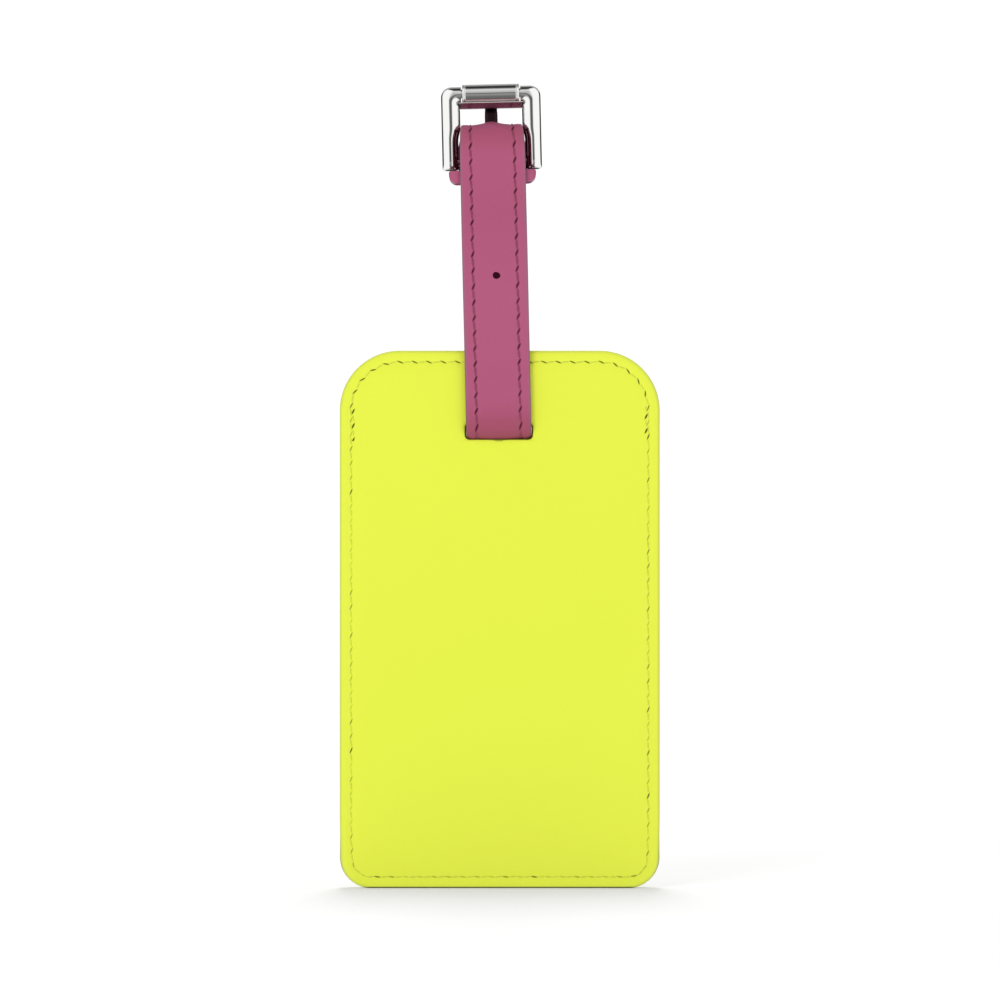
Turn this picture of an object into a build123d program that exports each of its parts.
# Leather luggage tag with a buckled carrying strap.
#
# Millimetres, +Z up. The tag stands on its bottom edge with the origin at the middle of that edge.
# X runs across the tag, -Y is its plain side and +Y the side with the card window.
#
# The tag is a sandwich: back panel, stiffener board, lining panel and a pocket panel with a window
# film, sewn together round the edge. One strap of two layers (outer leather and lining) folds round
# the heel bar of the buckle, runs down the +Y side, passes through the slot of the tag, runs up the
# -Y side, turns over through the buckle frame with the prong in its hole, and ends in a tip on the
# +Y side, held by the keeper. The strap is built in three lengths: lower, flex and upper.

from build123d import *
import math
import os

os.makedirs("parts", exist_ok=True)

# ---------------------------------------------------------------- tag sizes
TAG_W, TAG_H = 70.0, 117.6
TOP_R, BOTTOM_R = 13.1, 6.6       # corner radii
BACK_Y0, BACK_Y1 = -2.0, -0.4     # back panel
BOARD_Y0 = -1.0                   # floor of the board's recess in the back panel
LINING_Y1 = 0.6                   # lining panel, from BACK_Y1
POCKET_Y1 = 2.0                   # pocket panel, from LINING_Y1
BACK_FILLET, POCKET_FILLET, LINING_FILLET = 0.7, 0.6, 0.45

SEAM_IN = 2.5                     # perimeter seam, in from the edge
THREAD_W, THREAD_T = 0.5, 0.22
TACK_Z0, TACK_Z1 = 97.9, 105.4    # doubled stitches level with the pocket mouth
TACK_GAP, TACK_HALF_W = 0.3, 0.22

SLOT_HALF_W = 7.7                 # strap slot through every layer
SLOT_Z0, SLOT_Z1 = 97.85, 101.8
SLOT_R = 1.0

POCKET_TOP = 104.2                # mouth of the card pocket
BOARD_IN, BOARD_GAP = 4.2, 0.05   # board recess in from the edge, play round the board
CARD_SPACE_HALF_W = 29.0          # recess inside the pocket panel
CARD_SPACE_Z0, CARD_SPACE_T = 5.0, 0.7
WINDOW_HALF_W, WINDOW_Z0, WINDOW_Z1, WINDOW_R = 22.5, 17.0, 85.0, 3.0
WINDOW_SEAM = 2.2                 # window seam, out from the window edge
FILM_T, FILM_GAP, FILM_Z1, FILM_R = 0.25, 0.3, 95.5, 1.0
CARD_W, CARD_Z0, CARD_Z1, CARD_R = 54.0, 5.5, 91.5, 2.0
CARD_GAP, CARD_T = 0.05, 0.35

# ---------------------------------------------------------------- strap sizes
# Heights and y places of the strap are those of the joint between its two layers.
HEEL_Z, HEEL_R = 159.05, 1.0      # heel bar, axis at y = 0
STRAP_HALF_W = 14.1 / 2
OUTER_T, INNER_T = 0.9, 0.7       # outer leather, lining
STRAP_SEAM = 2.3                  # seam, in from the strap's edge
STRAP_THREAD_T = 0.2
TURN_Z, TURN_R = 102.0, 2.8       # turn through the slot
FOLD_R = HEEL_R + 0.05            # inside of the outer leather's fold round the heel bar
TIP_Y, TIP_Z, TIP_R = 2.9, 146.9, 5.0
ARCH_Y = -4.2                     # -Y foot of the arch over the frame
ARCH_TOP = 167.3                  # top of the outer leather
BULGE_Y, BULGE_Z = -7.6, 137.0    # the -Y run stands away from the +Y run
BULGE_TOP_Z, BULGE_FOOT_Z = 157.3, 112.0
SWAY_Z0, SWAY_Z1 = 106.0, 146.0   # the +Y run moves in to the heel bar
LINING_STOP, THREAD_STOP = 2.35, 3.0      # ends below the heel bar axis
FLAP_Z1, FLAP_Z0 = 152.0, 147.6   # straight end of the leather folded round the heel bar
FLAP_GAP = 0.02                   # between that end and the lining
FLEX_Z0, FLEX_Z1 = 119.0, 137.0
HOLE_Y, HOLE_Z, HOLE_R = -7.5, 134.3, 0.93
PRONG_HOLE_HALF_W, PRONG_HOLE_LIP = 1.45, 0.92
PRONG_HOLE_Z0, PRONG_HOLE_Z1 = 163.0, 168.9
CHAPE_HALF_W, CHAPE_Z0, CHAPE_Z1 = 4.4, 149.2, 149.6
LEAN_DEG = 1.3                    # the strap leans towards -X in its slot
LEAN_X, LEAN_Z = -0.3, 99.5       # sideways shift, height of the pivot

# ---------------------------------------------------------------- buckle and keeper sizes
FRAME_IN = 14.6                   # between the legs
ROD_R = 1.8
LEG_X = FRAME_IN / 2 + ROD_R
FRAME_TOP = 175.2
CORNER_R = 2.7                    # outside of the frame's top corners
HEEL_HALF = 10.1
PIN_PLAY = 0.06                   # between a pin and the part that turns on it
JOURNAL_R, JOURNAL_HALF = 1.0, 6.6        # thin middle of the top bar
ROLLER_Z, ROLLER_R, ROLLER_HALF, ROLLER_FILLET = 174.0, 2.1, 6.35, 0.25
ROLLER_BORE = JOURNAL_R + PIN_PLAY
RAIL_Z0, RAIL_Z1, RAIL_Y0, RAIL_Y1 = 170.95, 171.75, -1.3, 1.0
RAIL_BITE = 0.4                   # how far the rail enters each leg
EYE_IN, EYE_OUT, EYE_HALF = HEEL_R + PIN_PLAY, 1.95, 1.2
PRONG_ROOT = (0.3, 160.5)         # ends of the prong's centre line, (y, z)
PRONG_END = (3.02, 175.6)
PRONG_ROOT_EXTRA = 0.6            # the bar starts this far before PRONG_ROOT
PRONG_T0, PRONG_T1 = 0.75, 0.52   # half thickness at root and tip
PRONG_W0, PRONG_W1 = 1.3, 1.0     # half width at root and tip
PRONG_SWING = 6.0                 # degrees of play the strap hole leaves

KEEPER_Z0, KEEPER_Z1 = 153.8, 157.1
KEEPER_Y0, KEEPER_Y1 = -3.3, 5.25
KEEPER_HALF_W, KEEPER_T, KEEPER_R = 9.5, 1.15, 2.2
KEEPER_SOFT = 1.5                 # rounding of the lower outside corners


# ---------------------------------------------------------------- helpers
def save(name, *shapes):
    """One STEP file from the solids of all the shapes."""
    solids = [solid for shape in shapes for solid in shape.solids()]
    export_step(solids[0] if len(solids) == 1 else Compound(solids), f"parts/{name}.step")


LEAN = (
    Location((LEAN_X, 0, LEAN_Z))
    * Location((0, 0, 0), (0, -LEAN_DEG, 0))
    * Location((0, 0, -LEAN_Z))
)


def save_leaning(name, *shapes):
    """Saves shapes drawn upright, leaned over with the strap."""
    save(name, *[solid.moved(LEAN) for shape in shapes for solid in shape.solids()])


def slab(face, y0, y1):
    """A face drawn in (x, z), as a solid from y0 to y1."""
    placed = Plane((0, y1, 0), x_dir=(1, 0, 0), z_dir=(0, -1, 0)) * face
    return extrude(placed, amount=y1 - y0)


def slab_x(face, x0, x1):
    """A face drawn in (y, z), as a solid from x0 to x1."""
    placed = Plane((x0, 0, 0), x_dir=(0, 1, 0), z_dir=(1, 0, 0)) * face
    return extrude(placed, amount=x1 - x0)


def polygon(points):
    return make_face(Polyline(*points, close=True))


def rect(x0, x1, z0, z1, radius=0.0):
    width, height = x1 - x0, z1 - z0
    face = RectangleRounded(width, height, radius) if radius > 0 else Rectangle(width, height)
    return Pos((x0 + x1) / 2, (z0 + z1) / 2) * face


def box(x0, x1, y0, y1, z0, z1):
    centre = Pos((x0 + x1) / 2, (y0 + y1) / 2, (z0 + z1) / 2)
    return centre * Box(x1 - x0, y1 - y0, z1 - z0)


def cyl_x(radius, x0, x1, z):
    """A cylinder along X with its axis at y = 0."""
    return Pos((x0 + x1) / 2, 0, z) * Rot(0, 90, 0) * Cylinder(radius, x1 - x0)


def outline(inset, z_top=None):
    """The tag's outline in (x, z), moved in by inset. z_top cuts it square below the top corners."""
    side, bottom, top = TAG_W / 2 - inset, inset, TAG_H - inset
    r_low, r_top = BOTTOM_R - inset, TOP_R - inset
    z_low = bottom + r_low

    def corner(x, z, radius, start):
        angles = [start + step * math.pi / 4 for step in range(3)]
        return ThreePointArc(*[(x + radius * math.cos(a), z + radius * math.sin(a)) for a in angles])

    edges = [
        Line((-side + r_low, bottom), (side - r_low, bottom)),
        corner(side - r_low, z_low, r_low, -math.pi / 2),
    ]
    if z_top is None:
        edges += [
            Line((side, z_low), (side, top - r_top)),
            corner(side - r_top, top - r_top, r_top, 0),
            Line((side - r_top, top), (-side + r_top, top)),
            corner(-side + r_top, top - r_top, r_top, math.pi / 2),
            Line((-side, top - r_top), (-side, z_low)),
        ]
    else:
        edges += [
            Line((side, z_low), (side, z_top)),
            Line((side, z_top), (-side, z_top)),
            Line((-side, z_top), (-side, z_low)),
        ]
    edges.append(corner(-side + r_low, z_low, r_low, math.pi))
    return make_face(edges)


def rounded_rim(panel, side, radius):
    """Rounds the outer rim of a panel's -Y face (side 0) or +Y face (side -1)."""
    return fillet(panel.faces().sort_by(Axis.Y)[side].outer_wire().edges(), radius)


# ---------------------------------------------------------------- tag layers
slot = slab(rect(-SLOT_HALF_W, SLOT_HALF_W, SLOT_Z0, SLOT_Z1, SLOT_R), -5, 6)

back_panel = rounded_rim(slab(outline(0), BACK_Y0, BACK_Y1), 0, BACK_FILLET)
back_panel = back_panel - slab(outline(BOARD_IN), BOARD_Y0, BACK_Y1 + 1) - slot
save("back_panel", back_panel)

save("stiffener_board", slab(outline(BOARD_IN + BOARD_GAP), BOARD_Y0, BACK_Y1) - slot)

# the lining's +Y rim is rounded only where it shows, above the pocket
lining = slab(outline(0), BACK_Y1, LINING_Y1)
lining_round = rounded_rim(lining, -1, LINING_FILLET)
below_mouth = box(-50, 50, -5, 5, -5, POCKET_TOP)
above_mouth = box(-50, 50, -5, 5, POCKET_TOP, 130)
lining = (lining & below_mouth) + (lining_round & above_mouth) - slot
save("lining_panel", lining)


def window_outline(out):
    """The window's outline, moved out by out."""
    half = WINDOW_HALF_W + out
    return rect(-half, half, WINDOW_Z0 - out, WINDOW_Z1 + out, WINDOW_R + out)


card_space_y1 = LINING_Y1 + CARD_SPACE_T
card_space = rect(-CARD_SPACE_HALF_W, CARD_SPACE_HALF_W, CARD_SPACE_Z0, POCKET_TOP + 2)
pocket = rounded_rim(slab(outline(0, POCKET_TOP), LINING_Y1, POCKET_Y1), -1, POCKET_FILLET)
pocket = pocket - slab(card_space, LINING_Y1 - 1, card_space_y1)
pocket = pocket - slab(window_outline(0), 0, 4) - slot
save("pocket_panel", pocket)

film_half = CARD_SPACE_HALF_W - FILM_GAP
film_face = rect(-film_half, film_half, CARD_SPACE_Z0 + FILM_GAP, FILM_Z1, FILM_R)
save("window_film", slab(film_face, card_space_y1 - FILM_T, card_space_y1))

card_y0 = LINING_Y1 + CARD_GAP
card_face = rect(-CARD_W / 2, CARD_W / 2, CARD_Z0, CARD_Z1, CARD_R)
save("address_card", slab(card_face, card_y0, card_y0 + CARD_T))


# ---------------------------------------------------------------- sewing thread of the tag
def seam(y0):
    """The perimeter seam as a flat run that starts at y0."""
    y1 = y0 + THREAD_T
    hollow = slab(outline(SEAM_IN + THREAD_W / 2), y0 - 1, y1 + 1)
    return slab(outline(SEAM_IN - THREAD_W / 2), y0, y1) - hollow


thread_y0 = BACK_Y0 - THREAD_T
tack_x = TAG_W / 2 - SEAM_IN - THREAD_W - TACK_GAP
tacks = [
    box(x - TACK_HALF_W, x + TACK_HALF_W, thread_y0, BACK_Y0, TACK_Z0, TACK_Z1)
    for x in (-tack_x, tack_x)
]
save("tag_thread_back", seam(thread_y0), *tacks)

# on the +Y side the seam steps down from the pocket panel to the lining at the pocket mouth
thread_low = seam(POCKET_Y1) & box(-40, 40, 0, 5, -1, POCKET_TOP - 0.7)
thread_high = seam(LINING_Y1) & box(-40, 40, 0, 5, POCKET_TOP + 0.05, 120)
save("tag_thread_front", thread_low, thread_high)

window_thread = slab(
    window_outline(WINDOW_SEAM + THREAD_W / 2), POCKET_Y1, POCKET_Y1 + THREAD_T
) - slab(window_outline(WINDOW_SEAM - THREAD_W / 2), POCKET_Y1 - 1, POCKET_Y1 + 1)
save("window_thread", window_thread)


# ---------------------------------------------------------------- strap
class StrapPath:
    """Tangent lines and arcs in (y, z). The outer leather is on the right of travel.

    A station is (y, z, heading), heading in radians from +Y. A run is two stations for a line
    and three for an arc.
    """

    def __init__(self, y, z, heading):
        self.end = (y, z, heading)
        self.runs = []

    def add(self, stations):
        self.runs.append([self.end] + stations)
        self.end = stations[-1]
        return self

    def straight_to(self, z):
        """Straight up or down to z."""
        y, _, heading = self.end
        return self.add([(y, z, heading)])

    def arc(self, radius, turn):
        """turn in radians, positive to the left."""
        y, z, heading = self.end
        reach = math.copysign(radius, turn)
        centre_y = y - reach * math.sin(heading)
        centre_z = z + reach * math.cos(heading)
        return self.add([
            (centre_y + reach * math.sin(a), centre_z - reach * math.cos(a), a)
            for a in (heading + turn / 2, heading + turn)
        ])

    def s_curve(self, across, along):
        """Moves across (positive to the left) over a length along, back to the first heading."""
        angle = math.copysign(2 * math.atan(abs(across) / along), across)
        radius = along / (2 * math.sin(abs(angle)))
        return self.arc(radius, angle).arc(radius, -angle)

    def offset(self, distance):
        """Edges of the path moved to the right of travel, with the first and last point."""
        edges = []
        for run in self.runs:
            points = [
                (y + distance * math.sin(a), z - distance * math.cos(a)) for y, z, a in run
            ]
            edges.append(Line(*points) if len(points) == 2 else ThreePointArc(*points))
            if len(edges) == 1:
                first = points[0]
        return edges, first, points[-1]

    def layer(self, offset0, offset1, x0, x1):
        """The solid between two offsets, from x0 to x1."""
        edges0, first0, last0 = self.offset(offset0)
        edges1, first1, last1 = self.offset(offset1)
        ends = [Line(first0, first1), Line(last0, last1)]
        return slab_x(make_face(edges0 + edges1 + ends), x0, x1)


def strap_path(z_end):
    """Tip, over the arch, down the -Y run, through the slot and up the +Y run to z_end."""
    arch_r = (TIP_Y - ARCH_Y) / 2
    path = StrapPath(TIP_Y, TIP_Z, math.pi / 2)
    path.straight_to(ARCH_TOP - OUTER_T - arch_r).arc(arch_r, math.pi)
    path.straight_to(BULGE_TOP_Z)
    path.s_curve(BULGE_Y - ARCH_Y, BULGE_TOP_Z - BULGE_Z)
    path.s_curve(-TURN_R - BULGE_Y, BULGE_Z - BULGE_FOOT_Z)
    path.straight_to(TURN_Z).arc(TURN_R, math.pi)
    path.straight_to(SWAY_Z0)
    path.s_curve(TURN_R - FOLD_R, SWAY_Z1 - SWAY_Z0)
    return path.straight_to(z_end)


# the outer leather goes on round the heel bar and lies down against the lining
outer_path = strap_path(HEEL_Z).arc(FOLD_R, math.pi)
outer_path.s_curve(FOLD_R + (FOLD_R - INNER_T) - FLAP_GAP, HEEL_Z - FLAP_Z1)
outer_path.straight_to(FLAP_Z0)
strap_outer = outer_path.layer(0, OUTER_T, -STRAP_HALF_W, STRAP_HALF_W)

lining_path = strap_path(HEEL_Z - LINING_STOP)
strap_lining = lining_path.layer(-INNER_T, 0, -STRAP_HALF_W, STRAP_HALF_W)

thread_path = strap_path(HEEL_Z - THREAD_STOP)
seam_x = STRAP_HALF_W - STRAP_SEAM
strap_thread = [
    thread_path.layer(OUTER_T, OUTER_T + STRAP_THREAD_T, x - THREAD_W / 2, x + THREAD_W / 2)
    for x in (-seam_x, seam_x)
]

# two corners come off the tip
tip_y0, tip_y1 = TIP_Y - INNER_T, TIP_Y + OUTER_T
tip_box = box(-STRAP_HALF_W, STRAP_HALF_W, tip_y0 - 0.2, tip_y1 + 0.4, TIP_Z - 1, TIP_Z + TIP_R)
tip_face = rect(-STRAP_HALF_W, STRAP_HALF_W, TIP_Z, TIP_Z + 4 * TIP_R, TIP_R)
tip_cut = tip_box - slab(tip_face, tip_y0 - 1, tip_y1 + 1)

# round hole of the -Y run, and the opening for the prong's eye
round_hole = Pos(0, HOLE_Y, HOLE_Z) * Rot(90, 0, 0) * Cylinder(HOLE_R, 6)
eye_cut = box(-1.5, 1.5, -2.15, 2.15, HEEL_Z - 2.2, HEEL_Z + 2.9)


def prong_at(z, out, swing=0.0):
    """(y, z) off the prong's centre line towards +Y, with the prong swung away from the roller."""
    slope = (PRONG_END[0] - PRONG_ROOT[0]) / (PRONG_END[1] - PRONG_ROOT[1])
    y = PRONG_ROOT[0] + slope * (z - PRONG_ROOT[1]) + out
    rise = z - HEEL_Z
    a = math.radians(swing)
    return (y * math.cos(a) + rise * math.sin(a), HEEL_Z - y * math.sin(a) + rise * math.cos(a))


# the prong's hole in the arch is cut to the room the prong needs to swing
hole_swing = PRONG_SWING + 0.8
prong_hole = slab_x(
    polygon([
        prong_at(PRONG_HOLE_Z0, -PRONG_HOLE_LIP),
        prong_at(PRONG_HOLE_Z1, -PRONG_HOLE_LIP),
        prong_at(PRONG_HOLE_Z1, PRONG_HOLE_LIP, hole_swing),
        prong_at(PRONG_HOLE_Z0, PRONG_HOLE_LIP, hole_swing),
    ]),
    -PRONG_HOLE_HALF_W,
    PRONG_HOLE_HALF_W,
)

strap_outer = strap_outer - round_hole - eye_cut - prong_hole - tip_cut
strap_lining = strap_lining - round_hole - eye_cut - prong_hole - tip_cut
thread_trim = box(-20, 20, TIP_Y, 6, TIP_Z - 2, TIP_Z + 1.6)
strap_thread = [thread - thread_trim for thread in strap_thread]

strap_layers = {"outer": [strap_outer], "lining": [strap_lining], "thread": strap_thread}
strap_lengths = {"lower": (90, FLEX_Z0), "flex": (FLEX_Z0, FLEX_Z1), "upper": (FLEX_Z1, 190)}
for length_name, (z0, z1) in strap_lengths.items():
    room = box(-20, 20, -20, 20, z0, z1)
    for layer_name, shapes in strap_layers.items():
        save_leaning(f"strap_{layer_name}_{length_name}", *[shape & room for shape in shapes])

# a cross stitch on the +Y run, below the heel bar
chape_y = FOLD_R + OUTER_T
chape_thread = box(
    -CHAPE_HALF_W, CHAPE_HALF_W, chape_y, chape_y + STRAP_THREAD_T, CHAPE_Z0, CHAPE_Z1
)
save_leaning("chape_thread", chape_thread)

# ---------------------------------------------------------------- keeper, a loose leather ring
keeper_w, keeper_d = 2 * KEEPER_HALF_W, KEEPER_Y1 - KEEPER_Y0
keeper_mid = Pos(0, (KEEPER_Y0 + KEEPER_Y1) / 2)
ring = keeper_mid * RectangleRounded(keeper_w, keeper_d, KEEPER_R) - keeper_mid * RectangleRounded(
    keeper_w - 2 * KEEPER_T, keeper_d - 2 * KEEPER_T, KEEPER_R - KEEPER_T + 0.1
)
keeper = extrude(Plane((0, 0, KEEPER_Z0)) * ring, amount=KEEPER_Z1 - KEEPER_Z0)
keeper_face = rect(-KEEPER_HALF_W, KEEPER_HALF_W, KEEPER_Z0, KEEPER_Z0 + 10, KEEPER_SOFT)
save_leaning("keeper_loop", keeper & slab(keeper_face, -9, 9))

# ---------------------------------------------------------------- buckle
heel_bar = cyl_x(HEEL_R, -HEEL_HALF, HEEL_HALF, HEEL_Z)
save_leaning("heel_bar", heel_bar)


def frame_side(side):
    """Leg, top corner and stub of the top bar, on the -X (-1) or +X (1) side."""
    bar_z = FRAME_TOP - ROD_R
    bend = CORNER_R - ROD_R               # centre line radius of the corner
    bend_z = bar_z - bend
    leg_x, corner_x = side * LEG_X, side * (LEG_X - bend)

    # the foot of the leg is rounded about the heel bar
    foot_z = HEEL_Z - ROD_R
    leg = Pos(leg_x, 0, (foot_z + bend_z) / 2) * Cylinder(ROD_R, bend_z - foot_z)
    foot = cyl_x(ROD_R, leg_x - 3, leg_x + 3, HEEL_Z)
    leg = leg & (foot + box(leg_x - 3, leg_x + 3, -3, 3, HEEL_Z, 180))

    x0, x1 = sorted((side * JOURNAL_HALF, corner_x))
    stub = cyl_x(ROD_R, x0, x1, bar_z)

    # the bend is tighter than the rod, so the profile is clipped at the axis it turns about
    profile = (Pos(bend, 0) * Circle(ROD_R)) & (Pos(2.5, 0) * Rectangle(5, 8))
    profile = Plane((corner_x, 0, bend_z), x_dir=(side, 0, 0), z_dir=(0, 0, 1)) * profile
    corner = revolve(profile, Axis((corner_x, 0, bend_z), (0, -side, 0)), 90)
    return leg + stub + corner


rail_half = FRAME_IN / 2 + RAIL_BITE
frame = frame_side(-1) + frame_side(1)
frame = frame + cyl_x(JOURNAL_R, -JOURNAL_HALF, JOURNAL_HALF, ROLLER_Z)
frame = frame + box(-rail_half, rail_half, RAIL_Y0, RAIL_Y1, RAIL_Z0, RAIL_Z1)
save_leaning("buckle_frame", frame - heel_bar)

roller = cyl_x(ROLLER_R, -ROLLER_HALF, ROLLER_HALF, ROLLER_Z)
roller = fillet(roller.edges().filter_by(GeomType.CIRCLE), ROLLER_FILLET)
roller = roller - cyl_x(ROLLER_BORE, -ROLLER_HALF - 1, ROLLER_HALF + 1, ROLLER_Z)
save_leaning("roller", roller)


# prong: an eye round the heel bar and a tapered bar that rests on the +Y side of the roller
def prong_bar():
    (root_y, root_z), (end_y, end_z) = PRONG_ROOT, PRONG_END
    length = math.hypot(end_y - root_y, end_z - root_z)
    along_y, along_z = (end_y - root_y) / length, (end_z - root_z) / length
    root_y -= along_y * PRONG_ROOT_EXTRA
    root_z -= along_z * PRONG_ROOT_EXTRA

    def beside(y, z, out):
        return (y + along_z * out, z - along_y * out)

    side_face = polygon([
        beside(root_y, root_z, PRONG_T0),
        beside(end_y, end_z, PRONG_T1),
        beside(end_y, end_z, -PRONG_T1),
        beside(root_y, root_z, -PRONG_T0),
    ])
    tip_z = end_z + 0.1
    # -X half of the outline, (x, z), from root to tip
    half_outline = [
        (-PRONG_W0, 157.5),
        (-PRONG_W0, 168.2),
        (-PRONG_W1, 170.8),
        (-PRONG_W1, tip_z - 1.2),
        (-PRONG_W1 * 0.45, tip_z),
    ]
    outline_face = polygon(half_outline + [(-x, z) for x, z in reversed(half_outline)])
    return slab_x(side_face, -2, 2) & slab(outline_face, -5, 8)


eye = cyl_x(EYE_OUT, -EYE_HALF, EYE_HALF, HEEL_Z)
save_leaning("prong", (prong_bar() + eye) - cyl_x(EYE_IN, -4, 4, HEEL_Z))
